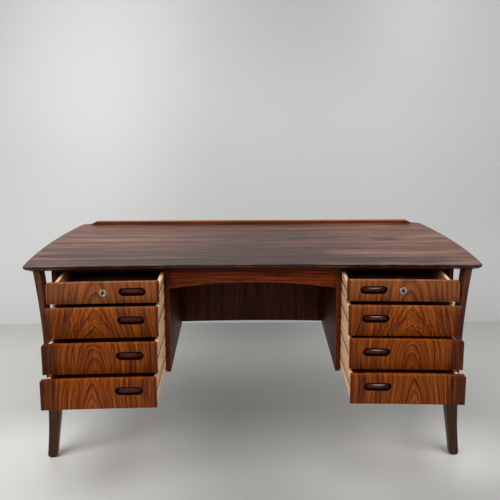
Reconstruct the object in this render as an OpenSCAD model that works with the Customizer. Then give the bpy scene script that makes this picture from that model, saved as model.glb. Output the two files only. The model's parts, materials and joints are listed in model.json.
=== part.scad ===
// Executive desk: a thin bowed top on two pedestals of four drawers, carried by four knee shaped legs.
// All sizes are millimetres. X runs to the right, Y runs from the sitter to the back, Z runs up.
// Y is counted from the front corners of the top, and origin_y then moves the desk over the origin.

/* [Top] */
// Greatest width of the top, across its bowed ends
top_w = 1640; // [1600:10:1800]
// Depth of the top, from its front corners to its back edge
top_d = 797; // [780:1:900]
// Height of the writing surface above the floor
top_h = 735; // [700:5:780]
// Thickness of the top away from its edges
top_t = 22; // [18:1:30]
// Thickness of the top's thin edge
edge_t = 10; // [6:1:14]
// How far the bevel under the top runs in from the edge
bevel_w = 28; // [18:1:36]
// Thickness of the solid band round the edge
band_t = 5; // [3:1:8]
// How far the front edge curves in at its middle
front_bow = 28; // [5:1:40]
// Radius of the bowed ends, seen from above
end_r = 3000; // [2800:100:8000]
// Distance of the widest point of the top behind its front corners
widest_y = 90; // [60:5:200]
// Radius of the front corners, seen from above
front_corner_r = 22; // [10:1:30]
// Radius of the back corners, seen from above
back_corner_r = 28; // [10:1:40]

/* [Back ledge] */
// Length of the raised ledge along the back of the top
ledge_w = 1408; // [1200:2:1440]
// Height of the ledge above the top
ledge_h = 14; // [8:1:30]
// Thickness of the ledge
ledge_t = 20; // [12:1:30]
// How far each end of the ledge slopes in
ledge_slope = 28; // [5:1:60]
// Distance of the ledge in front of the back edge
ledge_inset = 3; // [1:1:20]

/* [Carcass] */
// Height of the pedestals
carcass_h = 400; // [380:1:440]
// Thickness of the carcass panels
panel_t = 17; // [15:0.5:19]
// Clear width between the two sides of a pedestal
bay_w = 386; // [360:0.5:390]
// Distance of the pedestals' outer sides in from the widest point of the top
end_overhang = 94; // [86:1:110]
// Distance of the pedestal fronts behind the front corners of the top, at the ends of the curve
carcass_setback = 47; // [40:1:70]
// How far the pedestal fronts curve in at the middle of the desk
carcass_bow = 33; // [10:1:40]
// Distance of the carcass back in front of the back edge of the top
back_overhang = 81; // [60:1:110]
// Depth of the rails under the top, front to back
rail_w = 40; // [36:1:60]
// Height of the rails under the top
rail_h = 17; // [14:1:20]

/* [Kneehole] */
// Height of the apron at its ends
apron_h = 82; // [60:1:110]
// Rise of the arch under the apron
apron_arch = 22; // [5:1:40]
// Thickness of the apron
apron_t = 18; // [12:1:22]
// Distance of the apron behind the pedestal fronts
apron_setback = 10; // [0:1:40]
// Rise of the arch under the back panel
modesty_arch = 4; // [2:1:20]

/* [Drawers] */
// Height of the top drawer's front
small_front_h = 74; // [66:1:86]
// Thickness of the drawer fronts
front_t = 20; // [18:1:24]
// Gap between one front and the next
front_gap = 2; // [1:0.5:4]
// Gap between a front and the sides of the pedestal
side_gap = 1.5; // [1:0.25:3]
// Gap over the top front
top_reveal = 3.5; // [2:0.5:6]
// Height of the pedestal's lower edge that shows under the lowest front
bottom_reveal = 4.5; // [2:0.5:8]
// Radius of each front's upper outer corner
front_corner = 8; // [3:1:14]
// Thickness of the drawer sides and backs
side_t = 11; // [10:0.5:13]
// Distance of the outer drawer side in from the outer end of the front
side_step = 15.5; // [10:0.5:24]
// Distance of the drawer sides' upper edge below the front's
side_drop = 9; // [6:0.5:14]
// Depth at which the sides are let into the back of the front
housing_d = 5; // [3:0.5:8]
// Thickness of the drawer bottoms
bottom_t = 5; // [4:0.5:7]
// Height of the drawer bottom above the sides' lower edge
bottom_rise = 8; // [6:0.5:12]
// Number of dovetails at each back corner of a large drawer
tails = 3; // [2:1:4]
// Pull-out of the four left drawers, from the top one down
left_out = [186, 240, 299, 348]; // [0:1:430]
// Pull-out of the four right drawers, from the top one down
right_out = [179, 237, 276, 324]; // [0:1:430]

/* [Runners] */
// Height of the runner groove in a drawer side
groove_h = 10; // [8:0.5:12]
// Depth of the runner groove in a drawer side
groove_d = 6; // [4:0.5:7]
// Height of the groove's middle above the side's lower edge
groove_rise = 41; // [30:1:46]
// Gap between the runner and the upper face of the groove that rides on it
runner_gap = 0.3; // [0.2:0.1:0.6]
// Play between the runner and the rest of its groove
runner_play = 0.6; // [0.4:0.1:1.2]

/* [Pulls] */
// Length of the pocket cut for a pull
pull_w = 93; // [70:1:120]
// Height of the pocket cut for a pull
pull_h = 29; // [22:1:32]
// Depth of the pocket cut for a pull
pull_d = 16; // [12:0.5:16.5]
// Distance of the pull's middle from the inner end of the front
pull_x = 91.5; // [60:0.5:120]
// Height of the pull above the middle of a large front
pull_rise = 8; // [0:1:20]
// Height of the pull's bar
bar_h = 16; // [12:0.5:17]
// Depth of the pull's bar at its middle
bar_d = 8; // [6:0.5:9]
// How far the face of the bar bows back at its ends
bar_bow = 11; // [8:0.5:12]

/* [Locks] */
// Radius of the turning plug
plug_r = 6; // [4:0.5:7]
// Running gap round the plug
plug_gap = 0.06; // [0.03:0.01:0.1]
// Radius of the collar on the face of the drawer
collar_r = 12.5; // [11:0.5:16]
// Radius of the barrel behind the collar
barrel_r = 9; // [8.5:0.5:10]
// Width of the case behind the drawer front
case_w = 40; // [32:1:50]
// Depth of the case
case_d = 15.5; // [15:0.5:18]
// Width of the bolt
bolt_w = 14; // [10:1:20]
// Thickness of the bolt
bolt_t = 7; // [5:0.5:7]
// Travel of the bolt
bolt_travel = 8; // [6:0.5:8]

/* [Legs] */
// Distance of the front legs behind the front corners of the top
leg_setback = 15; // [10:1:22]
// Depth of a leg where it is fixed to the carcass
leg_d = 78; // [70:1:100]
// Depth of a leg at the floor
foot_d = 40; // [32:1:60]
// Height at which a leg reaches its full depth
flare_z = 290; // [200:5:300]
// Height of the knee
knee_z = 210; // [150:5:250]
// Reach of a front leg's outer edge past the carcass side, at the top
front_top_out = 56.5; // [46:0.5:60]
// Reach of a front leg's inner edge past the carcass side, at the top
front_top_in = 33.5; // [20:0.5:36]
// Reach of a back leg's outer edge past the carcass side, at the top
back_top_out = 22.5; // [18:0.5:26]
// Reach of a leg's outer edge past the carcass side, at the knee
knee_out = 28.5; // [24:0.5:36]
// Reach of a leg's inner edge under the carcass, at the knee
knee_in = 16; // [12:0.5:24]
// Reach of a leg's outer edge past the carcass side, at the floor
foot_out = 42; // [36:0.5:50]
// Reach of a leg's inner edge past the carcass side, at the floor
foot_in = 8.5; // [2:0.5:12]
// Softness of the knee's inner bend
knee_soft = 40; // [20:1:60]
// How late a leg's outer edge swings out above the knee, where 2 is a parabola
leg_sweep = 2.6; // [1.6:0.1:3]
// Radius of the rounded foot
foot_r = 13; // [4:1:13]
// Radius of the bolts that hold a leg
screw_r = 4; // [3:0.5:4]
// Length of the bolts that hold a leg
screw_l = 34; // [30:1:36]
// Height of the lower bolt above the pedestal's lower edge
bolt_rise = 26; // [25:1:27]
// Distance between the two bolts of a leg
bolt_step = 21; // [18:1:22]

/* [Hidden] */
$fn = 48;
arc_fn = 360;

// Joinery clearances
lock_gap = 0.3;
back_leg_lap = 2;
rail_gap = 0.5;
stop_gap = 0.5;
box_lift = 2.5;
runner_setback = 1;
pull_rise_small = 2;
bar_top_gap = 2.5;

sides = ["left", "right"];
rows = [0:3];
parts = ["front", "box", "bottom", "pull"];

// Heights
under_z = top_h - top_t;
base_z = under_z - carcass_h;
base_top = base_z + panel_t;
rail_z = under_z - rail_h;

// Places across the desk, right half
half_w = top_w / 2;
outer_x = half_w - end_overhang;
bay_x1 = outer_x - panel_t;
bay_x0 = bay_x1 - bay_w;
knee_x = bay_x0 - panel_t;
front_x0 = bay_x0 + side_gap;
front_x1 = bay_x1 - side_gap;
box_x1 = front_x1 - side_step;

// Plan of the top: its concave front, its bowed right end, and the middles of its rounded corners
front_r = pow(half_w, 2) / (2 * front_bow);
front_c = [0, front_bow - front_r];
end_c = [half_w - end_r, widest_y];
front_cx = half_w - front_corner_r - pow(widest_y - front_corner_r, 2) / (2 * end_r);
front_cy = front_c[1] + sqrt(pow(front_r + front_corner_r, 2) - pow(front_cx, 2));
front_turn = asin(front_cx / (front_r + front_corner_r));
back_cy = top_d - back_corner_r;
back_cx = end_c[0] + sqrt(pow(end_r - back_corner_r, 2) - pow(back_cy - widest_y, 2));
end_low = asin((front_cy - widest_y) / (end_r - front_corner_r));
end_high = asin((back_cy - widest_y) / (end_r - back_corner_r));

// Rise of the bevel under the top for each millimetre towards its edge
bevel_slope = (top_t - edge_t) / (bevel_w - band_t);

// Places front to back
back_y = top_d - back_overhang;
back_in_y = back_y - panel_t;
box_back_y = back_in_y - stop_gap;
reach_y = min(0, carcass_y(front_x1) - max(max(left_out), max(right_out)));
origin_y = -(reach_y + top_d) / 2;

// Drawer fronts
large_front_h = (carcass_h - top_reveal - bottom_reveal - small_front_h - 3 * front_gap) / 3;
mid_x = (front_x0 + front_x1) / 2;
grip_x = front_x0 + pull_x;
lock_z = front_z(0) + small_front_h / 2;
case_top = rail_z - 1.5;
case_v = front_t - 2.5;
plug_end = case_v + 6;
bolt_v = plug_end + 1;
bolt_h = 30;

// Curve of the pedestal fronts, at a distance x from the middle of the desk
function carcass_y(x) = carcass_setback + carcass_bow * (1 - pow(x / half_w, 2));
function carcass_angle(x) = atan(-2 * carcass_bow * x / pow(half_w, 2));

function steps(a, b, n) = [for (i = [0:n]) a + (b - a) * i / n];

module in_place() {
    translate([0, origin_y, 0])
        children();
}

module on_side(side) {
    mirror([side == "left" ? 1 : 0, 0, 0])
        children();
}

// Outline in X and Z, made solid between two places front to back
module along_y(y0, y1) {
    translate([0, y1, 0])
        rotate([90, 0, 0])
            linear_extrude(y1 - y0)
                children();
}

// Outline in Y and Z, made solid between two places across the desk
module along_x(x0, x1) {
    translate([x0, 0, 0])
        rotate([90, 0, 90])
            linear_extrude(x1 - x0)
                children();
}

module block(low, high) {
    translate(low)
        cube(high - low);
}

// Board that follows the curve of the pedestal fronts between two distances behind it
module curved_board(x0, x1, v0, v1, z0, z1, n = 10) {
    xs = steps(x0, x1, n);
    ends = [for (i = [n:-1:0]) [xs[i], carcass_y(xs[i]) + v1]];
    translate([0, 0, z0])
        linear_extrude(z1 - z0)
            polygon(concat([for (x = xs) [x, carcass_y(x) + v0]], ends));
}

// Frame on the face of the pedestal front at x, with +Y running into the wood
module on_face(x, z) {
    translate([x, carcass_y(x), z])
        rotate([0, 0, carcass_angle(x)])
            children();
}

// Top

// Points along an arc round a centre, without its first point
function arc(centre, r, a0, a1, n) =
    [for (i = [1:n]) let (a = a0 + (a1 - a0) * i / n) centre + r * [cos(a), sin(a)]];

// Right half of the top's outline, moved in by an inset: concave front, corner, bowed end, corner
function half_outline(inset) = concat(
    [[0, front_bow + inset]],
    arc(front_c, front_r + inset, 90, 90 - front_turn, 10),
    arc([front_cx, front_cy], front_corner_r - inset, -90 - front_turn, end_low, 6),
    arc(end_c, end_r - inset, end_low, end_high, 20),
    arc([back_cx, back_cy], back_corner_r - inset, end_high, 90, 6)
);

function top_outline(inset = 0) =
    let (half = half_outline(inset))
    concat(half, [for (i = [len(half) - 1:-1:1]) [-half[i][0], half[i][1]]]);

// Ring that planes the bevel under an edge of the top. The edge's arc has radius r, and the wood lies on
// the inner side of it, or on the outer side where the edge is concave.
module bevel_ring(r, concave = false) {
    d = concave ? 1 : -1;
    low = under_z - 1;
    rotate_extrude($fn = concave ? 4 * arc_fn : arc_fn)
        polygon([
            [r + d * bevel_w, low], [r + d * bevel_w, under_z],
            [r - d * bevel_w, under_z + 2 * bevel_w * bevel_slope], [r - d * bevel_w, low]
        ]);
}

module desktop() {
    in_place()
        color([0.36, 0.24, 0.19])
            difference() {
                translate([0, 0, under_z])
                    linear_extrude(top_t)
                        polygon(top_outline(band_t));
                for (side = sides)
                    on_side(side)
                        translate([end_c[0], end_c[1], 0])
                            bevel_ring(end_r);
                translate([front_c[0], front_c[1], 0])
                    bevel_ring(front_r, concave = true);
                along_x(-half_w, half_w)
                    polygon([
                        [top_d - bevel_w, under_z - 1], [top_d - bevel_w, under_z],
                        [top_d, under_z + bevel_w * bevel_slope], [top_d, under_z - 1]
                    ]);
            }
}

module edge_band() {
    in_place()
        color([0.25, 0.12, 0.08])
            translate([0, 0, top_h - edge_t])
                linear_extrude(edge_t)
                    difference() {
                        polygon(top_outline());
                        polygon(top_outline(band_t));
                    }
}

module back_ledge() {
    w = ledge_w / 2;
    y1 = top_d - ledge_inset;
    in_place()
        color([0.42, 0.2, 0.09])
            along_y(y1 - ledge_t, y1)
                polygon([
                    [-w, top_h], [w, top_h],
                    [w - ledge_slope, top_h + ledge_h], [ledge_slope - w, top_h + ledge_h]
                ]);
}

// Legs

function leg_outer(z, top_out) =
    z > knee_z
    ? outer_x + knee_out + (top_out - knee_out) * pow((z - knee_z) / (under_z - knee_z), leg_sweep)
    : outer_x + knee_out + (foot_out - knee_out) * pow((knee_z - z) / knee_z, 2);

function leg_inner(z, top_in) =
    let (
        up = (top_in + knee_in) / (under_z - knee_z),
        down = (foot_in + knee_in) / knee_z,
        dz = z - knee_z
    )
    outer_x - knee_in + (up - down) / 2 * dz + (up + down) / 2 * sqrt(dz * dz + knee_soft * knee_soft);

module leg_front_view(top_out, top_in, top_z) {
    above_knee = knee_z + 2 * knee_soft;
    heights = concat(steps(foot_r, above_knee, 12), steps(above_knee + knee_soft, top_z, 9));
    n = len(heights);
    inner = [for (i = [n - 1:-1:0]) [leg_inner(heights[i], top_in), heights[i]]];
    outer = [for (z = heights) [leg_outer(z, top_out), z]];
    toe_in = inner[n - 1][0] + foot_r;
    toe_out = outer[0][0] - foot_r;
    polygon(concat(
        inner,
        [for (a = steps(195, 270, 4)) [toe_in + foot_r * cos(a), foot_r + foot_r * sin(a)]],
        [for (a = steps(270, 345, 4)) [toe_out + foot_r * cos(a), foot_r + foot_r * sin(a)]],
        outer
    ));
}

// Side view of a leg: straight on its show edge, flaring behind. At its show edge the top of a front leg
// rises by as much as the bevel under the top does there.
module leg_side_view(bevel_y) {
    heights = steps(0, flare_z, 10);
    polygon(concat(
        [[bevel_y, under_z], [0, under_z + bevel_y * bevel_slope], [0, 0]],
        [for (z = heights) [foot_d + (leg_d - foot_d) * (1 - cos(180 * z / flare_z)) / 2, z]],
        [[leg_d, under_z]]
    ));
}

leg_clearance = 0.5;
leg_bevel_y = front_bow * (1 - pow((outer_x + front_top_out) / half_w, 2)) + bevel_w - leg_setback - leg_clearance;
leg_top_z = under_z + leg_bevel_y * bevel_slope;
bolt_edge = 22;
screw_gap = 0.1;
head_r = screw_r + 2.5;
head_h = 4;
head_sink = 0.5;
leg_bolt_z = [base_z + bolt_rise, base_z + bolt_rise + bolt_step];
front_bolt_y = leg_setback + leg_d - bolt_edge;
rear_bolt_y = back_y - leg_d + bolt_edge;

// Holes for the bolts of a leg, with sinkings that take their heads below the inside of the pedestal
module leg_bolt_holes(y) {
    for (z = leg_bolt_z)
        translate([bay_x1 - 1, y, z])
            rotate([0, 90, 0]) {
                cylinder(r = screw_r + screw_gap, h = screw_l + 1);
                cylinder(r = head_r + screw_gap, h = head_sink + head_h + 1);
            }
}

module leg(y, turn, bolt_y, top_out, top_in, bevel_y) {
    difference() {
        intersection() {
            along_y(y - leg_d - 1, y + leg_d + 1)
                leg_front_view(top_out, top_in, leg_top_z);
            translate([0, y, 0])
                mirror([0, turn, 0])
                    along_x(bay_x1 - knee_in, half_w)
                        leg_side_view(bevel_y);
        }
        outer_side_blank();
        block([bay_x0, 0, base_z], [bay_x1, back_y + 1, under_z + 1]);
        leg_bolt_holes(bolt_y);
    }
}

module front_leg(side) {
    in_place()
        color([0.25, 0.17, 0.14])
            on_side(side)
                leg(leg_setback, 0, front_bolt_y, front_top_out, front_top_in, leg_bevel_y);
}

module rear_leg(side) {
    in_place()
        color([0.25, 0.17, 0.14])
            on_side(side)
                leg(back_y, 1, rear_bolt_y, back_top_out, -back_leg_lap, 0);
}

module leg_bolts() {
    in_place()
        color("silver")
            for (side = sides)
                on_side(side)
                    for (y = [front_bolt_y, rear_bolt_y])
                        for (z = leg_bolt_z)
                            translate([bay_x1 + head_sink, y, z])
                                rotate([0, 90, 0]) {
                                    cylinder(r = head_r, h = head_h);
                                    cylinder(r = screw_r, h = screw_l - head_sink);
                                }
}

// Pedestals

module outer_side_blank() {
    x0 = bay_x1;
    x1 = outer_x;
    translate([0, 0, base_z])
        linear_extrude(carcass_h)
            polygon([[x0, carcass_y(x0)], [x1, carcass_y(x1)], [x1, back_y], [x0, back_y]]);
}

module outer_side(side) {
    in_place()
        color([0.3, 0.16, 0.1])
            on_side(side)
                difference() {
                    outer_side_blank();
                    leg_bolt_holes(front_bolt_y);
                    leg_bolt_holes(rear_bolt_y);
                }
}

module inner_side(side) {
    in_place()
        color([0.3, 0.16, 0.1])
            on_side(side)
                translate([0, 0, base_z])
                    linear_extrude(carcass_h)
                        polygon([
                            [knee_x, carcass_y(knee_x)], [bay_x0, carcass_y(bay_x0)],
                            [bay_x0, back_y], [knee_x, back_y]
                        ]);
}

// Bottom board, set back behind the lowest drawer front that covers its edge
module base(side) {
    xs = steps(bay_x0, bay_x1, 10);
    in_place()
        color([0.33, 0.2, 0.13])
            on_side(side)
                translate([0, 0, base_z])
                    linear_extrude(panel_t)
                        polygon(concat(
                            [for (x = xs) [x, carcass_y(x) + front_t + rail_gap]],
                            [[bay_x1, back_in_y], [bay_x0, back_in_y]]
                        ));
}

// Front rail with the mortise for the lock bolt, and a back rail
module top_rails(side) {
    in_place()
        color([0.3, 0.14, 0.09])
            on_side(side) {
                difference() {
                    curved_board(bay_x0, bay_x1, front_t + rail_gap, front_t + rail_gap + rail_w, rail_z, under_z);
                    on_face(mid_x, 0)
                        block(
                            [-bolt_w / 2 - 1, bolt_v - 1, rail_z - 1],
                            [bolt_w / 2 + 1, bolt_v + bolt_t + 1, rail_z + bolt_travel + 2]
                        );
                }
                block([bay_x0, back_in_y - rail_w, rail_z], [bay_x1, back_in_y, under_z]);
            }
}

module pedestal_back(side) {
    in_place()
        color([0.3, 0.16, 0.1])
            on_side(side)
                block([bay_x0, back_in_y, base_z], [bay_x1, back_y, under_z]);
}

module drawer_runners() {
    tip = groove_d - runner_play;
    in_place()
        color([0.75, 0.6, 0.42])
            for (side = sides)
                on_side(side)
                    for (row = rows) {
                        low = groove_z(row) - groove_h / 2 + runner_play;
                        high = groove_z(row) + groove_h / 2 - runner_gap;
                        y0 = groove_y0(front_x0) + runner_setback;
                        y1 = groove_y0(box_x1 - groove_d) + runner_setback;
                        block([bay_x0, y0, low], [front_x0 + tip, back_in_y, high]);
                        block([box_x1 - tip, y1, low], [bay_x1, back_in_y, high]);
                    }
}

// Kneehole

module apron() {
    z0 = under_z - apron_h;
    arch_r = (pow(knee_x, 2) + pow(apron_arch, 2)) / (2 * apron_arch);
    in_place()
        color([0.4, 0.17, 0.09])
            difference() {
                curved_board(-knee_x, knee_x, apron_setback, apron_setback + apron_t, z0, under_z, 16);
                along_y(0, carcass_y(0) + apron_setback + apron_t + 1)
                    translate([0, z0 + apron_arch - arch_r])
                        circle(r = arch_r, $fn = arc_fn);
            }
}

module modesty_panel() {
    arch_r = (pow(knee_x, 2) + pow(modesty_arch, 2)) / (2 * modesty_arch);
    in_place()
        color([0.2, 0.11, 0.08])
            difference() {
                block([-knee_x, back_in_y, base_z], [knee_x, back_y, under_z]);
                along_y(back_in_y - 1, back_y + 1)
                    translate([0, base_z + modesty_arch - arch_r])
                        circle(r = arch_r, $fn = arc_fn * 4);
            }
}

// Drawers. Row 0 is the top one. Each is drawn shut, and then pulled out by its own length.

function front_h(row) = row == 0 ? small_front_h : large_front_h;
function front_z(row) =
    row == 0
    ? under_z - top_reveal - small_front_h
    : front_z(0) - row * (large_front_h + front_gap);
function side_z0(row) = max(front_z(row) + 1, base_top + box_lift);
function side_z1(row) = min(front_z(row) + front_h(row) - side_drop, rail_z - 2);
function groove_z(row) = side_z0(row) + min(groove_rise, (side_z1(row) - side_z0(row)) / 2);
function grip_z(row) = front_z(row) + front_h(row) / 2 + (row == 0 ? pull_rise_small : pull_rise);
function side_y0(x) = carcass_y(x) + front_t - housing_d;

module pulled(side, row) {
    out = side == "left" ? left_out[row] : right_out[row];
    translate([0, -out, 0])
        in_place()
            on_side(side)
                children();
}

module oblong(w, h) {
    square([w - h, h], center = true);
    for (x = [-1, 1])
        translate([x * (w - h) / 2, 0])
            circle(r = h / 2);
}

module front_outline(row) {
    z0 = front_z(row);
    z1 = z0 + front_h(row);
    r = front_corner;
    translate([front_x0, z0])
        square([front_x1 - front_x0 - r, z1 - z0]);
    translate([front_x0, z0])
        square([front_x1 - front_x0, z1 - z0 - r]);
    translate([front_x1 - r, z1 - r])
        circle(r = r);
}

module drawer_side_blanks(row) {
    for (x = [front_x0, box_x1 - side_t])
        block([x, side_y0(x), side_z0(row)], [x + side_t, box_back_y, side_z1(row)]);
}

module bottom_blank(row) {
    z0 = side_z0(row) + bottom_rise;
    lap = housing_d;
    xs = steps(front_x0 + side_t - lap, box_x1 - side_t + lap, 10);
    translate([0, 0, z0])
        linear_extrude(bottom_t)
            polygon(concat(
                [for (x = xs) [x, carcass_y(x) + front_t - lap + 1]],
                [[xs[10], box_back_y - 1], [xs[0], box_back_y - 1]]
            ));
}

module drawer_front(side, row) {
    z0 = front_z(row);
    color([0.55, 0.3, 0.15])
        pulled(side, row)
            difference() {
                intersection() {
                    curved_board(front_x0, front_x1, 0, front_t, z0, z0 + front_h(row));
                    along_y(0, carcass_y(0) + front_t)
                        front_outline(row);
                }
                drawer_side_blanks(row);
                bottom_blank(row);
                on_face(grip_x, grip_z(row))
                    along_y(-front_t, pull_d)
                        oblong(pull_w, pull_h);
                if (row == 0)
                    on_face(mid_x, lock_z) {
                        along_y(-front_t, front_t + 10)
                            circle(r = barrel_r + 0.1);
                        lock_case_blank();
                    }
            }
}

// Pins at the ends of a drawer back, seen from the side: narrow at the back face, wide inside
module pin_profile(row) {
    z0 = side_z0(row) + bottom_rise + bottom_t;
    z1 = side_z1(row) - 3;
    n = row == 0 ? tails - 1 : tails;
    y0 = box_back_y - side_t;
    narrow = 5;
    flare = side_t * tan(9);
    intersection() {
        for (i = [0:n])
            let (z = z0 + (z1 - z0) * i / n, a = narrow / 2, b = narrow / 2 + flare)
                polygon([[y0, z - b], [box_back_y, z - a], [box_back_y, z + a], [y0, z + b]]);
        translate([y0, z0])
            square([side_t, z1 - z0]);
    }
}

module drawer_pins(row) {
    for (x = [front_x0, box_x1 - side_t])
        along_x(x, x + side_t)
            pin_profile(row);
}

// The grooves start just behind the front, and the runners a little further back
function groove_y0(x) = carcass_y(x) + front_t + 1;

module runner_grooves(row) {
    z0 = groove_z(row) - groove_h / 2;
    x0 = front_x0 + groove_d;
    x1 = box_x1 - groove_d;
    block([front_x0 - 1, groove_y0(front_x0), z0], [x0, box_back_y + 1, z0 + groove_h]);
    block([x1, groove_y0(x1), z0], [box_x1 + 1, box_back_y + 1, z0 + groove_h]);
}

module drawer_box(side, row) {
    color([0.8, 0.64, 0.46])
        pulled(side, row) {
            difference() {
                drawer_side_blanks(row);
                runner_grooves(row);
                drawer_pins(row);
                bottom_blank(row);
            }
            difference() {
                union() {
                    block(
                        [front_x0 + side_t, box_back_y - side_t, side_z0(row) + bottom_rise + bottom_t],
                        [box_x1 - side_t, box_back_y, side_z1(row) - 3]
                    );
                    drawer_pins(row);
                }
                runner_grooves(row);
            }
        }
}

module drawer_bottom(side, row) {
    color([0.82, 0.7, 0.52])
        pulled(side, row)
            bottom_blank(row);
}

// Bar of solid wood bowed across the upper part of the pocket: its ends are seated on the pocket's floor, its
// top slopes, and there is room for fingertips under it and behind its middle
module drawer_pull(side, row) {
    w = pull_w / 2;
    face = 0.5;
    low = pull_h / 2 - bar_top_gap - bar_h;
    xs = steps(-w - 1, w + 1, 16);
    color([0.28, 0.1, 0.06])
        pulled(side, row)
            on_face(grip_x, grip_z(row))
                intersection() {
                    along_y(0, pull_d)
                        oblong(pull_w, pull_h);
                    translate([0, 0, low])
                        linear_extrude(bar_h)
                            polygon(concat(
                                [for (x = xs) [x, face + bar_bow * pow(x / w, 2)]],
                                [for (i = [16:-1:0]) [xs[i], face + bar_d + bar_bow * pow(xs[i] / w, 2)]]
                            ));
                    along_x(-w - 1, w + 1)
                        polygon([
                            [0, low], [pull_d, low], [pull_d, low + bar_h],
                            [bar_d, low + bar_h], [0, low + bar_h / 2]
                        ]);
                }
}

// Locks, one in each top drawer: a turning plug lifts a bolt into the rail

module lock_case_blank() {
    block([-case_w / 2, case_v, -18], [case_w / 2, case_v + case_d, case_top - lock_z]);
}

module bolt_blank(gap) {
    top = case_top - lock_z;
    block(
        [-bolt_w / 2 - gap, bolt_v - gap, top - bolt_h - gap],
        [bolt_w / 2 + gap, bolt_v + bolt_t + gap, top + (gap > 0 ? 1 : 0)]
    );
}

module lock_body(side) {
    rim = 1.8;
    color([0.75, 0.72, 0.66])
        pulled(side, 0)
            on_face(mid_x, lock_z)
                difference() {
                    union() {
                        rotate([-90, 0, 0])
                            rotate_extrude()
                                polygon([
                                    [0, -0.8], [plug_r + 2, -0.8], [collar_r - 2, -rim], [collar_r - 0.6, -rim],
                                    [collar_r, -1.2], [collar_r, -0.5], [barrel_r, -0.5], [barrel_r, case_v + 1],
                                    [0, case_v + 1]
                                ]);
                        lock_case_blank();
                    }
                    along_y(-5, plug_end + 0.5)
                        circle(r = plug_r + plug_gap);
                    bolt_blank(lock_gap);
                }
}

module lock_plug(side) {
    color([0.6, 0.58, 0.54])
        pulled(side, 0)
            on_face(mid_x, lock_z)
                difference() {
                    along_y(-1.2, plug_end)
                        circle(r = plug_r);
                    along_y(-2, 10) {
                        circle(r = 1.7);
                        translate([-0.9, -4])
                            square([1.8, 4]);
                    }
                }
}

module lock_bolt(side) {
    color([0.7, 0.6, 0.35])
        pulled(side, 0)
            on_face(mid_x, lock_z)
                bolt_blank(0);
}

desktop();
edge_band();
back_ledge();
apron();
modesty_panel();
drawer_runners();
leg_bolts();
for (s = sides) {
    front_leg(s);
    rear_leg(s);
    outer_side(s);
    inner_side(s);
    base(s);
    top_rails(s);
    pedestal_back(s);
    lock_body(s);
    lock_plug(s);
    lock_bolt(s);
    for (r = rows) {
        name = str(s, "_drawer_", r + 1, "_");
        drawer_front(s, r);
        drawer_box(s, r);
        drawer_bottom(s, r);
        drawer_pull(s, r);
    }
}
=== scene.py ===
import json
import math
from types import SimpleNamespace

import bmesh
import bpy
from mathutils import Matrix, Vector


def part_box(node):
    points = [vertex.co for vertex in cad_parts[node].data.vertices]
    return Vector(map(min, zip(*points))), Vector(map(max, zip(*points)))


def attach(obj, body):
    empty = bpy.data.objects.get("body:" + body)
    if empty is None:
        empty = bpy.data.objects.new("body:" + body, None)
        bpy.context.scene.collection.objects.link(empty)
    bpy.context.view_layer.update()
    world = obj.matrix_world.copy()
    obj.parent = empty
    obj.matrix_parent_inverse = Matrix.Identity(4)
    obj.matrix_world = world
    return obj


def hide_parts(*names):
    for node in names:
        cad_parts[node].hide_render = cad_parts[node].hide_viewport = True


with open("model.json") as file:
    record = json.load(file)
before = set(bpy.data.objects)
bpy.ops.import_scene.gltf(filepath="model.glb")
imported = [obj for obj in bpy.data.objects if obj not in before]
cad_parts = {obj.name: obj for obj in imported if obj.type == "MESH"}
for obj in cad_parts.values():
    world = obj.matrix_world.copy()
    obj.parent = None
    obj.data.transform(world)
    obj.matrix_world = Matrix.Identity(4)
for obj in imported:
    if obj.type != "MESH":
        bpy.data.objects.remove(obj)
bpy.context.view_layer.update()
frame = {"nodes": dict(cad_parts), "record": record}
cad_nodes = frame["nodes"]
record = frame["record"]
SIDES = ("left", "right")
ROWS = (1, 2, 3, 4)

# Places taken from the frame, in metres
front_edge_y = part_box("edge_band")[0].y
front_inner_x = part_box("right_drawer_1_front")[0].x
top_middle_y = (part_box("desktop")[0].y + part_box("desktop")[1].y) / 2
ledge_top_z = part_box("back_ledge")[1].z
pull_outer_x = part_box("right_drawer_1_pull")[1].x
lock_low, lock_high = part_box("right_lock_plug")
lock_centre = (lock_low + lock_high) / 2
plug_radius = (lock_high.z - lock_low.z) / 2 + 0.0001

# Distance from the desk's middle to the heart of the veneer on the fronts
VENEER_CENTRE_X = 0.537

# Pocket of a drawer front, reach of a runner groove into a box side, and width of a front's lipping
POCKET_HEIGHT = 0.029
POCKET_TOP_GAP = 0.0025
GROOVE_REACH = 0.008
LIPPING_WIDTH = 0.009

# Easing of the pieces: angles in radians and lengths in metres
FLAT_ANGLE = math.radians(0.05)
SHARP_ANGLE = math.radians(28)
SMOOTH_ANGLE = math.radians(32)
WELD_DISTANCE = 0.000005
SHORT_EDGE = 0.004


# Camera at the photograph's place

def photo_camera():
    pitch = 0.2242
    yaw = 0.008
    roll = -0.0032
    lens_length = 64.187
    lens_shift = -0.0054
    eye = (-0.0253, front_edge_y - 3.0656, 1.4929)
    ahead = Vector((math.sin(yaw) * math.cos(pitch), math.cos(yaw) * math.cos(pitch), -math.sin(pitch)))
    across = Vector((math.cos(yaw), -math.sin(yaw), 0))
    above = across.cross(ahead)
    right = across * math.cos(roll) + above * math.sin(roll)
    up = above * math.cos(roll) - across * math.sin(roll)
    lens = bpy.data.cameras.new("photo_camera")
    lens.sensor_width = 36
    lens.lens = lens_length
    lens.shift_x = lens_shift
    camera = bpy.data.objects.new("photo_camera", lens)
    bpy.context.scene.collection.objects.link(camera)
    turn = Matrix((right, up, -ahead)).transposed().to_4x4()
    turn.translation = eye
    camera.matrix_world = turn
    bpy.context.scene.camera = camera


photo_camera()


# Node helpers

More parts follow.
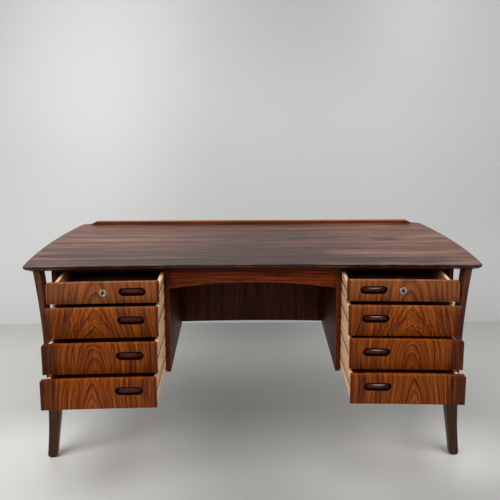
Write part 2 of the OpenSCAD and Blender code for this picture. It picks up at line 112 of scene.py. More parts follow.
def srgb(red, green, blue):
    """Linear colour from the red, green and blue of a screen, 0 to 255."""
    linear = []
    for level in (red, green, blue):
        share = level / 255
        linear.append(share / 12.92 if share <= 0.04045 else ((share + 0.055) / 1.055) ** 2.4)
    return (*linear, 1)


def shader_node(tree, kind, **settings):
    made = tree.nodes.new(kind)
    for name, value in settings.items():
        setattr(made, name, value)
    return made


def feed(tree, socket, value):
    if isinstance(value, bpy.types.NodeSocket):
        tree.links.new(value, socket)
    else:
        socket.default_value = value


def calc(tree, operation, *values):
    made = shader_node(tree, "ShaderNodeMath", operation=operation)
    for socket, value in zip(made.inputs, values):
        feed(tree, socket, value)
    return made.outputs[0]


def vector_calc(tree, operation, *values):
    made = shader_node(tree, "ShaderNodeVectorMath", operation=operation)
    for socket, value in zip(made.inputs, values):
        feed(tree, socket, value)
    return made.outputs["Value" if operation == "LENGTH" else "Vector"]


def xyz(tree, vector):
    made = shader_node(tree, "ShaderNodeSeparateXYZ")
    feed(tree, made.inputs[0], vector)
    return made.outputs[0], made.outputs[1], made.outputs[2]


def vector_of(tree, x, y, z):
    made = shader_node(tree, "ShaderNodeCombineXYZ")
    for socket, value in zip(made.inputs, (x, y, z)):
        feed(tree, socket, value)
    return made.outputs[0]


def stretched(tree, vector, x, y, z):
    made = shader_node(tree, "ShaderNodeMapping")
    feed(tree, made.inputs["Vector"], vector)
    made.inputs["Scale"].default_value = (x, y, z)
    return made.outputs[0]


def noise(tree, vector, scale=1.0, detail=2.0, rough=0.5):
    made = shader_node(tree, "ShaderNodeTexNoise")
    feed(tree, made.inputs["Vector"], vector)
    made.inputs["Scale"].default_value = scale
    made.inputs["Detail"].default_value = detail
    made.inputs["Roughness"].default_value = rough
    return made.outputs["Fac"]


def spread(tree, value, low, high, to_low=0.0, to_high=1.0):
    made = shader_node(tree, "ShaderNodeMapRange", clamp=True, interpolation_type="SMOOTHSTEP")
    for socket, given in zip(made.inputs, (value, low, high, to_low, to_high)):
        feed(tree, socket, given)
    return made.outputs[0]


def mixed(tree, share, first, second, blend="MIX"):
    made = shader_node(tree, "ShaderNodeMix", data_type="RGBA", blend_type=blend)
    feed(tree, made.inputs[0], share)
    feed(tree, made.inputs[6], first)
    feed(tree, made.inputs[7], second)
    return made.outputs[2]


def ramp(tree, value, stops):
    made = shader_node(tree, "ShaderNodeValToRGB")
    feed(tree, made.inputs[0], value)
    for mark, (place, colour) in zip(made.color_ramp.elements, stops):
        mark.position = place
        mark.color = colour
    return made.outputs[0]


def new_group(name, inputs, outputs):
    """Shader node group that takes a vector and the numbers in inputs, and puts out the numbers named in
    outputs."""
    group = bpy.data.node_groups.new(name, "ShaderNodeTree")
    group.interface.new_socket("Vector", in_out="INPUT", socket_type="NodeSocketVector")
    for label, value in inputs.items():
        socket = group.interface.new_socket(label, in_out="INPUT", socket_type="NodeSocketFloat")
        socket.default_value = value
    for label in outputs:
        group.interface.new_socket(label, in_out="OUTPUT", socket_type="NodeSocketFloat")
    entry = group.nodes.new("NodeGroupInput")
    exit_node = group.nodes.new("NodeGroupOutput")
    return group, entry.outputs, exit_node.inputs


def use_group(tree, group, **values):
    """Outputs of a group placed in a tree, with ring_width=0.01 for its input Ring Width, and so on."""
    made = shader_node(tree, "ShaderNodeGroup", node_tree=group)
    for label, value in values.items():
        feed(tree, made.inputs[label.replace("_", " ").title()], value)
    return made.outputs


def radius_from_heart(group, given):
    """Distance of each place on the veneer from the heart of the log. The saw passes the heart at a depth
    that changes along the grain, which draws the arches. Ripples near Flame Height make them flicker,
    Step makes the depth grow faster between two heights, and Point draws their tops out to points,
    except near Round Height."""
    place = given["Vector"]
    x, _, z = xyz(group, place)
    slow = calc(group, "SUBTRACT", noise(group, stretched(group, place, 5, 5, 2.4)), 0.5)
    across = calc(group, "MULTIPLY_ADD", slow, given["Sway"], x)
    from_flame = calc(group, "ABSOLUTE", calc(group, "SUBTRACT", z, given["Flame Height"]))
    flame = calc(group, "SUBTRACT", 1.15, spread(group, from_flame, 0.0, given["Flame Reach"]))
    lick = noise(group, stretched(group, place, 46, 46, 20), detail=3.0, rough=0.6)
    lick = calc(group, "SUBTRACT", lick, 0.5)
    ripple = calc(group, "MULTIPLY", calc(group, "MULTIPLY", lick, flame), given["Flame"])
    across = calc(group, "MULTIPLY_ADD", ripple, 0.12, across)
    height = calc(group, "ADD", z, ripple)
    step = spread(group, height, given["Step Low"], given["Step High"], 0.0, given["Step"])
    depth = calc(group, "ADD", calc(group, "MULTIPLY_ADD", height, given["Taper"], given["Depth"]), step)
    from_round = calc(group, "ABSOLUTE", calc(group, "SUBTRACT", z, given["Round Height"]))
    point = calc(group, "MULTIPLY", given["Point"], spread(group, from_round, 0.02, 0.09, 0.1, 1.0))
    pointed = calc(group, "MULTIPLY", calc(group, "ABSOLUTE", across), point)
    wide = calc(group, "MULTIPLY_ADD", across, across, pointed)
    return calc(group, "SQRT", calc(group, "MULTIPLY_ADD", depth, depth, wide))


def growth_rings():
    """Growth rings of a flat sawn veneer. X runs across the veneer, Z along its grain. Every few rings
    there is a dark vein: veins lie where the radius is Vein Start plus whole Vein Gaps."""
    group, given, out = new_group(
        "growth rings",
        {"Ring Width": 0.01, "Depth": 0.04, "Taper": 0.15, "Sway": 0.02, "Flame": 0.03,
         "Flame Height": 0.27, "Flame Reach": 0.10, "Vein Gap": 0.025, "Vein Start": 0.0, "Step": 0.0,
         "Step Low": 0.19, "Step High": 0.33, "Point": 0.0, "Round Height": 0.18},
        ("Ring", "Vein", "Band", "Streak", "Heart"),
    )
    x, _, z = xyz(group, given["Vector"])
    radius = radius_from_heart(group, given)
    uneven = noise(group, vector_of(group, calc(group, "MULTIPLY", radius, 90), 0.0, 0.0), detail=3.0)
    count = calc(group, "MULTIPLY_ADD", uneven, 1.8, calc(group, "DIVIDE", radius, given["Ring Width"]))
    group.links.new(calc(group, "POWER", calc(group, "FRACT", count), 3.2), out["Ring"])
    gaps = calc(group, "DIVIDE", calc(group, "SUBTRACT", radius, given["Vein Start"]), given["Vein Gap"])
    sharp = calc(group, "POWER", calc(group, "FRACT", calc(group, "ADD", gaps, 8.0)), 6.0)
    fading_place = vector_of(group, calc(group, "MULTIPLY", x, 30), calc(group, "MULTIPLY", radius, 55),
                             calc(group, "MULTIPLY", z, 9))
    fading = spread(group, noise(group, fading_place, detail=1.0), 0.32, 0.56, 0.25, 1.0)
    group.links.new(calc(group, "MULTIPLY", sharp, fading), out["Vein"])
    band = noise(group, vector_of(group, calc(group, "MULTIPLY", radius, 38), 3.0, 0.0), detail=2.0)
    group.links.new(spread(group, band, 0.32, 0.68), out["Band"])
    streak_place = vector_of(group, calc(group, "MULTIPLY", radius, 230), calc(group, "MULTIPLY", z, 7.0),
                             5.0)
    streak = noise(group, streak_place, detail=4.0, rough=0.7)
    group.links.new(spread(group, streak, 0.36, 0.64), out["Streak"])
    group.links.new(calc(group, "SUBTRACT", 1.0, spread(group, radius, 0.05, 0.12)), out["Heart"])
    return group


def wood_fibre():
    """Fibres and open pores, drawn out along Z."""
    group, given, out = new_group("wood fibre", {}, ("Streak", "Fibre", "Pore"))
    place = given["Vector"]
    streak = noise(group, stretched(group, place, 130, 130, 2.5), detail=3.0, rough=0.6)
    fibre = noise(group, stretched(group, place, 420, 420, 7), detail=4.0, rough=0.65)
    pore = noise(group, stretched(group, place, 1500, 1500, 70), detail=1.0)
    group.links.new(spread(group, streak, 0.3, 0.7), out["Streak"])
    group.links.new(spread(group, fibre, 0.36, 0.64), out["Fibre"])
    group.links.new(spread(group, pore, 0.62, 0.74), out["Pore"])
    return group


def edge_wear():
    """Where an eased edge has lost a little of its colour, patchy as handling leaves it. On the edge band
    the same lighter rim is also a painted highlight along the arris.
    """
    group, given, out = new_group("edge wear", {"Edge": 0.0}, ("Wear",))
    patches = noise(group, stretched(group, given["Vector"], 24, 24, 24), detail=3.0)
    wear = calc(group, "MULTIPLY", spread(group, patches, 0.35, 0.7), given["Edge"])
    group.links.new(wear, out["Wear"])
    return group


rings_group = growth_rings()
fibre_group = wood_fibre()
wear_group = edge_wear()


# Finishes

def new_material(name):
    material = bpy.data.materials.new(name)
    material.use_nodes = True
    tree = material.node_tree
    return material, tree, tree.nodes["Principled BSDF"]


def wood_place(tree, grain, centre, mirrored, start):
    """Places that the finish is drawn from: the object's own coordinates, and the same turned so that X
    runs across the grain and Z along it. Mirrored, both halves of the desk have the same figure."""
    source = shader_node(tree, "ShaderNodeTexCoord").outputs["Object"]
    x, y, z = xyz(tree, source)
    if mirrored:
        x = calc(tree, "ABSOLUTE", x)
    order = {"x": (y, z, x), "x upright": (z, y, x), "y": (z, x, y), "z": (x, y, z)}[grain]
    shifted = calc(tree, "SUBTRACT", order[0], centre)
    along = calc(tree, "SUBTRACT", order[2], start)
    return SimpleNamespace(tree=tree, place=source, x=x, height=z,
                           grain=vector_of(tree, shifted, order[1], along))


def heart_tint(colour):
    """Another tone near the heart of the log."""
    def tint(wood, under):
        share = calc(wood.tree, "MULTIPLY", wood.rings["Heart"], 0.6)
        return mixed(wood.tree, share, under, colour)
    return tint


def side_tone_and_painted_shade(colour, start, end, inner_share, outer_share):
    """Patches of another tone on the inner and outer sides of the veneer, away from its heart. On the top
    the same patches darken the front strip as painted shade.
    """
    def tint(wood, under):
        tree = wood.tree
        offset = xyz(tree, wood.grain)[0]
        outward = spread(tree, offset, start, end, 0.0, outer_share)
        inward = spread(tree, calc(tree, "MULTIPLY", offset, -1.0), start, end * 1.4, 0.0, inner_share)
        patches = spread(tree, noise(tree, stretched(tree, wood.grain, 26, 26, 2)), 0.35, 0.6, 0.3, 0.95)
        share = calc(tree, "MULTIPLY", calc(tree, "ADD", outward, inward), patches)
        return mixed(tree, share, under, colour)
    return tint


def middle_tint(colour, middle_x):
    """Drifts of another tone about the middle of the desk's width."""
    def tint(wood, under):
        tree = wood.tree
        from_middle = calc(tree, "ABSOLUTE", calc(tree, "SUBTRACT", wood.x, middle_x))
        near = calc(tree, "SUBTRACT", 1.0, spread(tree, from_middle, 0.1, 0.6))
        drift = noise(tree, stretched(tree, wood.grain, 16, 16, 1.2))
        share = calc(tree, "MULTIPLY", near, spread(tree, drift, 0.3, 0.62, 0.15, 0.95))
        return mixed(tree, share, under, colour)
    return tint


def end_tint(colour):
    """Clouds of another tone towards both ends of the desk's width."""
    def tint(wood, under):
        tree = wood.tree
        beside = spread(tree, calc(tree, "ABSOLUTE", wood.x), 0.15, 0.45)
        clouds = noise(tree, stretched(tree, wood.grain, 13, 13, 2.2), detail=3.0)
        share = calc(tree, "MULTIPLY", beside, spread(tree, clouds, 0.46, 0.68))
        return mixed(tree, calc(tree, "MULTIPLY", share, 0.7), under, colour)
    return tint


def painted_upper_light(colour, low, high, share):
    """Painted light: a lighter colour above a height, which blends in from low to high."""
    def tint(wood, under):
        rise = spread(wood.tree, wood.height, low, high, 0.0, share)
        return mixed(wood.tree, rise, under, colour)
    return tint


def lipping(colour):
    """Solid strip along the inner end of a drawer front."""
    def detail(wood, under):
        tree = wood.tree
        strip = calc(tree, "LESS_THAN", wood.x, front_inner_x + LIPPING_WIDTH)
        solid = mixed(tree, calc(tree, "MULTIPLY", wood.fibre["Fibre"], 0.5), colour, wood.mid)
        return mixed(tree, strip, under, solid)
    return detail


def painted_shade_outer_end(start):
    """Painted shade: a darker end of a pull, outside start, where it turns into its pocket."""
    def detail(wood, under):
        tree = wood.tree
        outer_end = spread(tree, calc(tree, "ABSOLUTE", wood.x), start, start + 0.007)
        return mixed(tree, outer_end, under, mixed(tree, 0.75, wood.dark, (0, 0, 0, 1)))
    return detail


def dark_painted_shade(colour):
    """Painted shade: a dark colour on the faces that are marked as shaded, in pockets, grooves and the
    insides of boxes.
    """
    def detail(wood, under):
        marked = shader_node(wood.tree, "ShaderNodeAttribute", attribute_name="painted_shade")
        return mixed(wood.tree, marked.outputs["Fac"], under, colour)
    return detail


def grain_tone(wood, light, mid):
    """Tone of the wood before its dark lines: streaks and wide bands along the rings, and streaks of
    fibre."""
    tree = wood.tree
    bands = calc(tree, "MULTIPLY", wood.rings["Band"], 0.35)
    tone = calc(tree, "MULTIPLY_ADD", wood.rings["Streak"], 0.4, bands)
    tone = calc(tree, "MULTIPLY_ADD", wood.fibre["Streak"], 0.25, tone)
    return ramp(tree, tone, [(0.18, mid), (0.78, light)])


def dark_lines(wood, colour, ring_share, vein_share, fibre_share):
    """Rings, veins, fibres and pores drawn over the tone in the dark colour."""
    tree = wood.tree
    colour = mixed(tree, calc(tree, "MULTIPLY", wood.rings["Ring"], ring_share), colour, wood.dark)
    colour = mixed(tree, calc(tree, "MULTIPLY", wood.rings["Vein"], vein_share), colour, wood.dark)
    threads = calc(tree, "MULTIPLY", wood.fibre["Fibre"], fibre_share)
    colour = mixed(tree, threads, colour, mixed(tree, 0.5, colour, wood.dark))
    return mixed(tree, calc(tree, "MULTIPLY", wood.fibre["Pore"], 0.5), colour, wood.dark)


def pore_relief(wood, relief):
    """Normal of the surface, with open pores sunk in and fibres raised."""
    tree = wood.tree
    raised = calc(tree, "MULTIPLY", wood.fibre["Fibre"], 0.3)
    bump = shader_node(tree, "ShaderNodeBump")
    bump.inputs["Strength"].default_value = relief
    bump.inputs["Distance"].default_value = 0.0001
    feed(tree, bump.inputs["Height"], calc(tree, "MULTIPLY_ADD", wood.fibre["Pore"], -1.0, raised))
    return bump.outputs[0]


def lacquered_wood(name, grain, centre, light, mid, dark, tints=(), details=(), mirrored=False, start=0.0,
                   gloss=0.36, sheen=0.3, relief=0.35, ring_share=0.45, vein_share=0.8, fibre_share=0.35,
                   wear=0.3, worn_colour=None, polished_edge=0.0, **figure):
    """Wood with tints under its dark lines and details over them, some of them painted light and shade.
    The figure is what the growth rings take in, and the edges that mark_edges marks are worn or polished."""
    material, tree, shader = new_material(name)
    wood = wood_place(tree, grain, centre, mirrored, start)
    wood.mid = mid
    wood.dark = dark
    wood.rings = use_group(tree, rings_group, vector=wood.grain, **figure)
    wood.fibre = use_group(tree, fibre_group, vector=wood.grain)
    colour = grain_tone(wood, light, mid)
    for tint in tints:
        colour = tint(wood, colour)
    colour = dark_lines(wood, colour, ring_share, vein_share, fibre_share)
    for detail in details:
        colour = detail(wood, colour)
    edge = shader_node(tree, "ShaderNodeAttribute", attribute_name="edge").outputs["Fac"]
    worn = use_group(tree, wear_group, vector=wood.place, edge=edge)["Wear"]
    colour = mixed(tree, calc(tree, "MULTIPLY", worn, wear), colour, worn_colour or light)
    feed(tree, shader.inputs["Base Color"], colour)
    rough = calc(tree, "MULTIPLY_ADD", wood.fibre["Fibre"], 0.1, gloss)
    feed(tree, shader.inputs["Roughness"], calc(tree, "MULTIPLY_ADD", worn, -0.06, rough))
    shader.inputs["Specular IOR Level"].default_value = sheen
    if polished_edge:
        feed(tree, shader.inputs["Coat Weight"], calc(tree, "MULTIPLY", edge, polished_edge))
        shader.inputs["Coat Roughness"].default_value = 0.12
    feed(tree, shader.inputs["Normal"], pore_relief(wood, relief))
    return material


def plated_metal(name, colour, stain, gloss, brushed, plug=None):
    """Plated metal, with the turning plug of a lock darker than its collar."""
    material, tree, shader = new_material(name)
    source = shader_node(tree, "ShaderNodeTexCoord").outputs["Object"]
    marks = noise(tree, stretched(tree, source, 900, 900, brushed), detail=3.0)
    patches = noise(tree, stretched(tree, source, 90, 90, 90), detail=3.0)
    finish = mixed(tree, calc(tree, "MULTIPLY", patches, 0.4), colour, stain)
    if plug:
        x, _, z = xyz(tree, source)
        across = calc(tree, "SUBTRACT", calc(tree, "ABSOLUTE", x), lock_centre.x)
        above = calc(tree, "SUBTRACT", z, lock_centre.z)
        radius = calc(tree, "SQRT", calc(tree, "ADD", calc(tree, "MULTIPLY", across, across),
                                         calc(tree, "MULTIPLY", above, above)))
        finish = mixed(tree, calc(tree, "LESS_THAN", radius, plug_radius), finish, plug)
    feed(tree, shader.inputs["Base Color"], finish)
    shader.inputs["Metallic"].default_value = 1.0
    feed(tree, shader.inputs["Roughness"], calc(tree, "MULTIPLY_ADD", marks, 0.16, gloss))
    return material


FINISHES = {
    "rosewood_top": lacquered_wood(
        "figured rosewood top", "x", top_middle_y + 0.06,
        light=srgb(160, 99, 75), mid=srgb(54, 26, 19), dark=srgb(12, 6, 6),
        # painted shade: the strip along the front of the top is darker, standing in for weaker reflection
        # there
        tints=(side_tone_and_painted_shade(srgb(24, 13, 13), 0.0, 0.25, inner_share=0.95, outer_share=0.0),
               middle_tint(srgb(70, 38, 30), 0.08), end_tint(srgb(168, 113, 91))),
        ring_width=0.024, depth=0.05, taper=0.03, sway=0.08, flame=0.05, vein_gap=0.06,
        ring_share=0.7, vein_share=0.95, fibre_share=0.75, gloss=0.26, sheen=0.1),
    "rosewood_edge": lacquered_wood(
        "rosewood edge band", "x", 0.0,
        light=srgb(40, 18, 13), mid=srgb(18, 8, 6), dark=srgb(9, 5, 4),
        ring_width=0.006, taper=0.02, gloss=0.26, sheen=0.25,
        # the worn colour on the band's rounded rim is partly wear and partly a painted highlight along
        # the arris
        wear=0.45, worn_colour=srgb(140, 100, 88), polished_edge=0.8),
    "rosewood_ledge": lacquered_wood(
        "rosewood ledge", "x", 0.3,
        light=srgb(104, 46, 14), mid=srgb(66, 27, 8), dark=srgb(30, 12, 6),
        # painted highlight: the ledge's upper edge is lighter, as if lit from above
        tints=(painted_upper_light(srgb(170, 86, 38), ledge_top_z - 0.0045, ledge_top_z - 0.002, 0.55),),
        ring_width=0.005, taper=0.02, vein_share=0.3, gloss=0.34, worn_colour=srgb(196, 104, 48)),
    "rosewood_apron": lacquered_wood(
        "rosewood apron", "x upright", 0.5,
        light=srgb(168, 72, 18), mid=srgb(78, 27, 7), dark=srgb(26, 10, 5),
        ring_width=0.014, taper=0.03, sway=0.04, ring_share=0.7, sheen=0.1,
        wear=1.0, worn_colour=srgb(176, 84, 30)),
    "rosewood_carcass": lacquered_wood(
        "rosewood carcass", "z", 0.2,
        light=srgb(96, 33, 8), mid=srgb(54, 17, 6), dark=srgb(24, 8, 5),
        ring_width=0.009, taper=0.05, gloss=0.38, sheen=0.1, wear=0.9, worn_colour=srgb(146, 70, 26)),
    "rosewood_back": lacquered_wood(
        "rosewood back panel", "z", 0.0,
        light=srgb(112, 50, 32), mid=srgb(64, 27, 17), dark=srgb(28, 12, 8),
        ring_width=0.010, taper=0.05, gloss=0.4, sheen=0.12),
    "rosewood_front": lacquered_wood(
        "flame figured rosewood front", "z", VENEER_CENTRE_X, mirrored=True, start=0.30,
        light=srgb(178, 88, 16), mid=srgb(86, 32, 9), dark=srgb(18, 6, 4),
        tints=(heart_tint(srgb(160, 76, 14)),
               side_tone_and_painted_shade(srgb(66, 30, 22), 0.08, 0.17, inner_share=0.35, outer_share=1.0),
               # painted reflection: the top row of fronts gets a greyer, lighter veil
               painted_upper_light(srgb(180, 112, 70), 0.6, 0.66, 0.45)),
        # painted shade: the inside of each pull pocket is near black
        details=(lipping(srgb(92, 34, 16)), dark_painted_shade(srgb(20, 8, 5))),
        ring_width=0.0052, depth=0.043, taper=0.14, sway=0.035, flame=0.062, step=0.014, point=0.014,
        vein_gap=0.0149, vein_start=0.0588, ring_share=0.7, vein_share=0.95, fibre_share=0.8,
        sheen=0.12, wear=0.5),
    "leg_wood": lacquered_wood(
        "dark solid leg wood", "z", 0.9,
        light=srgb(84, 48, 30), mid=srgb(56, 31, 20), dark=srgb(28, 15, 10),
        # painted light: the legs are lighter towards their tops, nearer the lamps
        tints=(painted_upper_light(srgb(134, 76, 44), 0.35, 0.6, 0.3),),
        ring_width=0.008, taper=0.03, sheen=0.22, wear=0.5),
    "pull_wood": lacquered_wood(
        "polished pull wood", "x", 0.0,
        light=srgb(88, 34, 23), mid=srgb(54, 18, 12), dark=srgb(26, 9, 6),
        # painted shade where the pull's outer end turns into its pocket
        details=(painted_shade_outer_end(pull_outer_x - 0.013),),
        ring_width=0.004, taper=0.02, gloss=0.34, sheen=0.12, relief=0.0, wear=0.0, polished_edge=1.0),
    "pale_wood": lacquered_wood(
        "pale drawer wood", "y", 0.0,
        light=srgb(254, 216, 170), mid=srgb(238, 188, 138), dark=srgb(108, 68, 38),
        # painted shade in the runner grooves and on the inner faces of the box sides
        details=(dark_painted_shade(srgb(118, 78, 40)),),
        ring_width=0.013, taper=0.03, gloss=0.5, ring_share=0.75, vein_share=0.5, fibre_share=0.2),
    "drawer_ply": lacquered_wood(
        "drawer bottom", "x", 0.2,
        light=srgb(176, 122, 70), mid=srgb(140, 94, 52), dark=srgb(90, 58, 32),
        ring_width=0.014, taper=0.05, gloss=0.5, ring_share=0.3, fibre_share=0.2),
    "lock_metal": plated_metal(
        "nickel plated lock", srgb(214, 206, 190), stain=srgb(96, 84, 70), gloss=0.1, brushed=900,
        plug=srgb(70, 60, 50)),
    "bolt_brass": plated_metal(
        "plain brass bolt", srgb(208, 172, 98), stain=srgb(96, 84, 70), gloss=0.28, brushed=40),
    "steel": plated_metal(
        "zinc plated steel", srgb(180, 182, 184), stain=srgb(96, 92, 88), gloss=0.32, brushed=900),
}


# Pieces

body_of_node = {}
for body_name, members in record["behaviour"]["bodies"].items():
    for member in members:
        body_of_node[member] = body_name
slot_of_node = {part["node"]: part["material_slot"] for part in record["subparts"]}

for node_name, node_object in cad_nodes.items():
    node_object.data.materials.clear()
    node_object.data.materials.append(FINISHES[slot_of_node[node_name]])


def choose_only(piece):
    for chosen in list(bpy.context.selected_objects):
        chosen.select_set(False)
    piece.select_set(True)
    bpy.context.view_layer.objects.active = piece


def select_edges(piece, wanted):
    """Selects the sharp edges of a piece in edit mode that wanted takes, and nothing else."""
    mesh = bmesh.from_edit_mesh(piece.data)
    for face in mesh.faces:
        face.select = False
    for edge in mesh.edges:
        edge.select = False
    for edge in mesh.edges:
        sharp = edge.is_manifold and edge.calc_face_angle() > SHARP_ANGLE
        if sharp and wanted(edge):
            edge.select = True
    mesh.select_flush_mode()
    bmesh.update_edit_mesh(piece.data)


def every_edge(edge):
    return True


def long_edge(edge):
    return edge.calc_length() > SHORT_EDGE


def upper_front_edge(edge):
    """Edges where a level upper face meets a face that looks to the sitter."""
    upward = any(face.normal.z > 0.9 for face in edge.link_faces)
    forward = any(face.normal.y < -0.6 for face in edge.link_faces)
    return upward and forward


def outer_rim(edge):
    """Edges on the outside of the edge band, not those against the panel. The front is concave, so there
    outwards is away from a point far behind the desk."""
    middle = (edge.verts[0].co + edge.verts[1].co) / 2
    upright = [face.normal for face in edge.link_faces if abs(face.normal.z) < 0.5]
    if not upright:
        return False
    behind = 1.5 if middle.y < 0 else 0.0
    return upright[0].x * middle.x + upright[0].y * (middle.y - behind) > 0


def mark_painted_shade(piece, cuts, towards, inner_shade):
    """Marks painted shade on the faces inside cuts, each given by two corners, which the finish paints
    dark. Faces that look along X the way that towards points are left unshaded, as if lit. Faces that
    look in towards the middle of the piece get painted shade by inner_shade."""
    marks = piece.data.attributes.new("painted_shade", "FLOAT", "FACE")
    middle_x = sum(corner[0] for corner in piece.bound_box) / 8
    for polygon in piece.data.polygons:
        middle = polygon.center
        inside = False
        for low, high in cuts:
            inside = inside or all(low[axis] < middle[axis] < high[axis] for axis in range(3))
        lit = max(0.0, polygon.normal.x * towards)
        to_middle = middle_x - middle.x
        inward = polygon.normal.x * to_middle > 0.9 * abs(to_middle) and abs(to_middle) > 0.11
        shaded = inner_shade if inward else 0.0
        marks.data[polygon.index].value = 1.0 - lit if inside else shaded


def round_edges(piece, width, wanted, segments, chamfer):
    choose_only(piece)
    bpy.ops.object.mode_set(mode="EDIT")
    bpy.ops.mesh.select_mode(type="EDGE")
    bpy.ops.mesh.select_all(action="SELECT")
    bpy.ops.mesh.remove_doubles(threshold=WELD_DISTANCE)
    bpy.ops.mesh.dissolve_limited(angle_limit=FLAT_ANGLE)
    if chamfer:
        select_edges(piece, upper_front_edge)
        bpy.ops.mesh.bevel(offset=chamfer, segments=1, affect="EDGES", clamp_overlap=True)
    select_edges(piece, wanted)
    bpy.ops.mesh.bevel(offset=width, segments=segments, affect="EDGES", clamp_overlap=True)
    bpy.ops.object.mode_set(mode="OBJECT")


def mark_edges(piece, width, chamfer, front_worn):
    """Marks what wears or shines: the rounded strips, a chamfer's slope and, by front_worn, the faces
    that look to the sitter. The bevel leaves its strips selected."""
    rounded = piece.data.attributes.new("edge", "FLOAT", "FACE")
    for polygon in piece.data.polygons:
        corners = [piece.data.vertices[index].co for index in polygon.vertices]
        girth = sum((corners[turn] - corners[turn - 1]).length for turn in range(len(corners)))
        strip = polygon.select and polygon.area < width * girth
        sloping = chamfer and 0.5 < polygon.normal.z < 0.85
        flat = front_worn if polygon.normal.y < -0.9 else 0.0
        rounded.data[polygon.index].value = 1.0 if strip or sloping else flat


def eased(node_name, width, wanted=every_edge, segments=3, painted_shade=None, towards=0, inner_shade=0.0,
          chamfer=None, front_worn=0.0):
    """Copy of a node with its sharp edges rounded by width, in metres, which stands for that node."""
    piece = bpy.data.objects.new(node_name + "_eased", cad_nodes[node_name].data.copy())
    bpy.context.scene.collection.objects.link(piece)
    round_edges(piece, width, wanted, segments, chamfer)
    mark_edges(piece, width, chamfer, front_worn)
    if painted_shade:
        mark_painted_shade(piece, painted_shade, towards, inner_shade)
    bpy.ops.object.shade_smooth_by_angle(angle=SMOOTH_ANGLE)
    piece.data.materials.clear()
    piece.data.materials.append(FINISHES[slot_of_node[node_name]])
    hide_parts(node_name)
    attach(piece, body_of_node[node_name])


def pocket_of(side, row):
    """Corners of the space inside the pocket of a drawer front, behind the rounded rim."""
    low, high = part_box(f"{side}_drawer_{row}_pull")
    rim = Vector((0.001, 0.0, 0.0005))
    behind_rim = 0.0015
    past_floor = 0.001
    middle_z = high.z + POCKET_TOP_GAP - POCKET_HEIGHT / 2
    bottom = Vector((low.x, low.y + behind_rim, middle_z - POCKET_HEIGHT / 2)) - rim
    top = Vector((high.x, high.y + past_floor, middle_z + POCKET_HEIGHT / 2)) + rim
    return bottom, top


def grooves_of(side, row):
    """Corners of the spaces that hold the runner grooves in the two sides of a drawer box."""
    low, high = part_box(f"{side}_drawer_{row}_box")
    skin = 0.001
    rim = 0.006
    bottom = low + Vector((skin, rim, rim))
    top = high - Vector((skin, rim, rim))
    return [(bottom, Vector((low.x + GROOVE_REACH, top.y, top.z))),
            (Vector((high.x - GROOVE_REACH, bottom.y, bottom.z)), top)]


eased("edge_band", 0.0022, outer_rim)
eased("back_ledge", 0.002)
eased("apron", 0.0015)
eased("modesty_panel", 0.001)
for side in SIDES:
    for leg in ("front_leg", "rear_leg"):
        eased(f"{side}_{leg}", 0.003, long_edge)
    for panel in ("outer_side", "inner_side", "base", "back"):
        eased(f"{side}_{panel}", 0.0012, long_edge, segments=2, front_worn=0.2)
    for row in ROWS:
        eased(f"{side}_drawer_{row}_front", 0.0010, painted_shade=[pocket_of(side, row)],
              towards=-1 if side == "right" else 1)
        eased(f"{side}_drawer_{row}_pull", 0.0008, segments=2, chamfer=0.0042)
        eased(f"{side}_drawer_{row}_box", 0.0006, long_edge, segments=1, painted_shade=grooves_of(side, row),
              inner_shade=0.75)


# Room: floor, wall and soft light

wall_y = front_edge_y + 1.67
ROOM_REACH = 8
WALL_HEIGHT = 6
FADE_FROM = 2.6
FADE_TO = 4.6


def room_finish(name, base, rough, sheen, painted_light_and_shade):
    """Matt paint with soft, wide patches of painted light and shade: each is a place, its reach and how
    much it adds; what adds less than nothing is painted shade.

    Seen from behind it is clear, so that the wall doesn't hide the back of the desk, and far from the
    desk it fades into the backdrop."""
    material, tree, shader = new_material(name)
    source = shader_node(tree, "ShaderNodeTexCoord").outputs["Object"]
    speckle = noise(tree, source, scale=400.0, detail=2.0)
    level = calc(tree, "MULTIPLY_ADD", speckle, -0.02, 1.0)
    for place, reach, gain in painted_light_and_shade:
        away = vector_calc(tree, "SUBTRACT", source, place)
        scaled = vector_calc(tree, "MULTIPLY", away, [1 / size for size in reach])
        share = spread(tree, vector_calc(tree, "LENGTH", scaled), 0.0, 1.0, gain, 0.0)
        level = calc(tree, "ADD", level, share)
    colour = mixed(tree, 1.0, base, vector_of(tree, level, level, level), blend="MULTIPLY")
    feed(tree, shader.inputs["Base Color"], colour)
    shader.inputs["Roughness"].default_value = rough
    shader.inputs["Specular IOR Level"].default_value = sheen
    clear = shader_node(tree, "ShaderNodeBsdfTransparent")
    from_behind = shader_node(tree, "ShaderNodeNewGeometry").outputs["Backfacing"]
    either = shader_node(tree, "ShaderNodeMixShader")
    far_off = spread(tree, vector_calc(tree, "LENGTH", source), FADE_FROM, FADE_TO)
    feed(tree, either.inputs[0], calc(tree, "MAXIMUM", from_behind, far_off))
    feed(tree, either.inputs[1], shader.outputs[0])
    feed(tree, either.inputs[2], clear.outputs[0])
    feed(tree, tree.nodes["Material Output"].inputs["Surface"], either.outputs[0])
    return material


def room_plane(name, corners, material):
    mesh = bpy.data.meshes.new(name)
    mesh.from_pydata(corners, [], [(0, 1, 2, 3)])
    plane = bpy.data.objects.new(name, mesh)
    plane.data.materials.append(material)
    bpy.context.scene.collection.objects.link(plane)


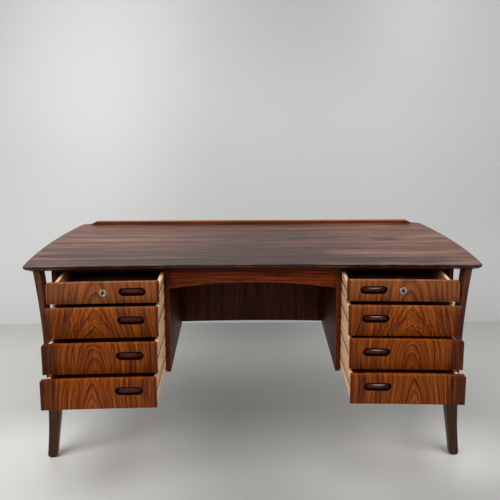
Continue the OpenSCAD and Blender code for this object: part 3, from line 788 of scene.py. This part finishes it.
# Painted light and shade on the room's floor and wall: where each patch is, how far it reaches and how
# much it adds
FLOOR_PAINTED_LIGHT_AND_SHADE = (
    ((-1.1, front_edge_y + 0.3, 0), (0.9, 1.5, 1), 0.1),
    ((-0.42, front_edge_y + 0.3, 0), (0.4, 0.5, 1), 0.2),
    ((-0.78, front_edge_y + 0.14, 0), (0.45, 0.45, 1), 0.5),
    ((0.45, front_edge_y + 0.2, 0), (0.4, 0.5, 1), 0.16),
    ((0.70, front_edge_y + 0.1, 0), (0.42, 0.42, 1), 0.52),
    ((0.9, front_edge_y - 0.35, 0), (0.9, 0.5, 1), -0.18),
    ((0.0, front_edge_y - 0.1, 0), (0.5, 0.6, 1), -0.34),
    ((0.2, front_edge_y - 0.5, 0), (1.8, 0.5, 1), -0.3),
    ((0.0, wall_y - 0.1, 0), (1.0, 0.9, 1), -0.42),
    ((0.0, wall_y, 0), (9.0, 0.6, 1), -0.17),
    ((1.2, front_edge_y + 0.9, 0), (0.7, 1.6, 1), -0.08),
)
WALL_PAINTED_LIGHT_AND_SHADE = (
    ((-0.8, wall_y, 1.25), (0.7, 1.5, 1.5), 0.2),
    ((0.25, wall_y, 1.75), (0.8, 1.5, 0.8), -0.15),
    ((0.85, wall_y, 1.7), (0.4, 1.5, 0.5), 0.06),
    ((1.5, wall_y, 1.0), (0.9, 1.5, 2.0), -0.1),
    ((-1.5, wall_y, 1.9), (0.5, 1.5, 0.9), -0.12),
    ((-1.0, wall_y, 2.1), (0.8, 1.5, 1.0), -0.08),
    ((-1.4, wall_y, 0.2), (1.0, 1.5, 0.9), 0.16),
    ((1.4, wall_y, 0.1), (0.8, 1.5, 0.6), 0.14),
    ((0.0, wall_y, 2.2), (6.0, 1.5, 1.2), -0.2),
)
floor_corners = [(-ROOM_REACH, -ROOM_REACH, 0), (ROOM_REACH, -ROOM_REACH, 0),
                 (ROOM_REACH, ROOM_REACH, 0), (-ROOM_REACH, ROOM_REACH, 0)]
wall_corners = [(-ROOM_REACH, wall_y, 0), (ROOM_REACH, wall_y, 0),
                (ROOM_REACH, wall_y, WALL_HEIGHT), (-ROOM_REACH, wall_y, WALL_HEIGHT)]
room_plane("floor", floor_corners,
           room_finish("pale floor", srgb(200, 200, 197), rough=0.42, sheen=0.5, painted_light_and_shade=FLOOR_PAINTED_LIGHT_AND_SHADE))
room_plane("wall", wall_corners,
           room_finish("pale wall", srgb(206, 207, 206), rough=0.8, sheen=0.3, painted_light_and_shade=WALL_PAINTED_LIGHT_AND_SHADE))


def soft_light(name, place, target, wide, high, power, mirrored=True):
    lamp = bpy.data.lights.new(name, "AREA")
    lamp.shape = "RECTANGLE"
    lamp.size = wide
    lamp.size_y = high
    lamp.energy = power
    light = bpy.data.objects.new(name, lamp)
    light.location = place
    light.rotation_euler = (Vector(target) - Vector(place)).to_track_quat("-Z", "Y").to_euler()
    light.visible_glossy = mirrored
    bpy.context.scene.collection.objects.link(light)


soft_light("key", (-2.6, -2.5, 3.0), (0, 0, 0.4), wide=2.8, high=2.4, power=108)
soft_light("fill", (2.9, -2.1, 2.8), (0, 0, 0.4), wide=2.8, high=2.4, power=50)
soft_light("ceiling", (-0.3, -0.6, 3.6), (0, -0.1, 0), wide=4.0, high=3.0, power=75, mirrored=False)
soft_light("lamp", (0.95, -1.6, 3.3), (0.9, -1.2, 0.5), wide=1.1, high=2.0, power=26)


def studio_world(seen, lit):
    """World that lights the room softly and shows a pale backdrop to the camera."""
    world = bpy.data.worlds.new("studio")
    world.use_nodes = True
    tree = world.node_tree
    background = tree.nodes["Background"]
    background.inputs["Color"].default_value = (1.0, 0.99, 0.97, 1)
    to_camera = shader_node(tree, "ShaderNodeLightPath").outputs["Is Camera Ray"]
    feed(tree, background.inputs["Strength"], calc(tree, "MULTIPLY_ADD", to_camera, seen - lit, lit))
    bpy.context.scene.world = world


studio_world(seen=0.62, lit=0.15)
bpy.context.scene.view_settings.view_transform = "Standard"
